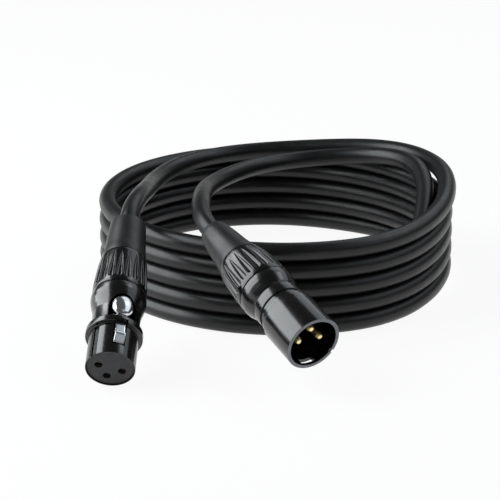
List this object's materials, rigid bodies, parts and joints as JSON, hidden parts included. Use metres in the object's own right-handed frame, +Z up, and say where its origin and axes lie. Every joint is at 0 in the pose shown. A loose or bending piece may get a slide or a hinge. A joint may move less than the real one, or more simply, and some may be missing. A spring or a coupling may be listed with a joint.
{
  "type": "microphone cable coil",
  "caption": "Coiled black microphone cable with a latching female connector on its nose before the coil and a male connector lying over its front.",
  "frame": {"origin": "on the ground, at the middle of the footprint of the coil with its two connectors", "axes": "+Z up from the surface the coil lies on, +Y from the connectors in front to the back of the coil, +X to the right in the picture"},
  "size_m": [0.1316, 0.1982, 0.0447],
  "materials": {
    "cable_jacket": "satin extruded jacket",
    "black_shell": "semi-gloss black coating on die-cast zinc",
    "insert_plastic": "matte moulded",
    "gold_contact": "gold plated",
    "clamp_plastic": "matte moulded",
    "collar_plastic": "semi-gloss moulded",
    "boot_rubber": "smooth matte rubber",
    "latch_chrome": "polished",
    "core_red": "insulation",
    "core_white": "insulation",
    "drain_copper": "bare stranded copper"
  },
  "bodies": {
    "root": {"cable_coil": "cable_jacket", "cable_lead_male": "cable_jacket", "cable_lead_female": "cable_jacket", "male_shell": "black_shell", "male_insert": "insert_plastic", "male_pin_1": "gold_contact", "male_pin_2": "gold_contact", "male_pin_3": "gold_contact", "male_cable_clamp": "clamp_plastic", "male_core_red": "core_red", "male_core_white": "core_white", "male_drain_wire": "drain_copper", "female_shell": "black_shell", "female_insert": "insert_plastic", "female_socket_1": "gold_contact", "female_socket_2": "gold_contact", "female_socket_3": "gold_contact", "latch_pin": "latch_chrome", "latch_spring": "latch_chrome", "female_cable_clamp": "clamp_plastic", "female_core_red": "core_red", "female_core_white": "core_white", "female_drain_wire": "drain_copper"},
    "latch": {"latch_lever": "latch_chrome"},
    "male_boot_body": {"male_boot": "boot_rubber"},
    "male_collar_body": {"male_collar": "collar_plastic"},
    "female_boot_body": {"female_boot": "boot_rubber"},
    "female_collar_body": {"female_collar": "collar_plastic"}
  },
  "joints": [
    {"name": "latch_press", "type": "hinge", "parent": "root", "child": "latch", "pos_m": [-0.0508, -0.07078, 0.02588], "axis": [0.9411, 0.1175, -0.3171], "range_deg": [0, 3.5], "stiffness_Nm_per_rad": 0.05, "deforming": ["latch_spring"]},
    {"name": "male_boot_slide", "type": "slide", "parent": "root", "child": "male_boot_body", "axis": [-0.4915, 0.8116, 0.3156], "range_m": [0, 0.003]},
    {"name": "male_collar_unscrew", "type": "hinge", "parent": "male_boot_body", "child": "male_collar_body", "pos_m": [0.01009, -0.09377, 0.01601], "axis": [0.4915, -0.8116, -0.3156], "range_deg": [0, 1080]},
    {"name": "female_boot_slide", "type": "slide", "parent": "root", "child": "female_boot_body", "axis": [0.0466, 0.8837, 0.4658], "range_m": [0, 0.003]},
    {"name": "female_collar_unscrew", "type": "hinge", "parent": "female_boot_body", "child": "female_collar_body", "pos_m": [-0.05439, -0.09262, 0.00712], "axis": [-0.0466, -0.8837, -0.4658], "range_deg": [0, 1080]}
  ],
  "couplings": [
    {"joint": "male_boot_slide", "follows": "male_collar_unscrew", "m_per_rad": 0.00015915},
    {"joint": "female_boot_slide", "follows": "female_collar_unscrew", "m_per_rad": 0.00015915}
  ]
}
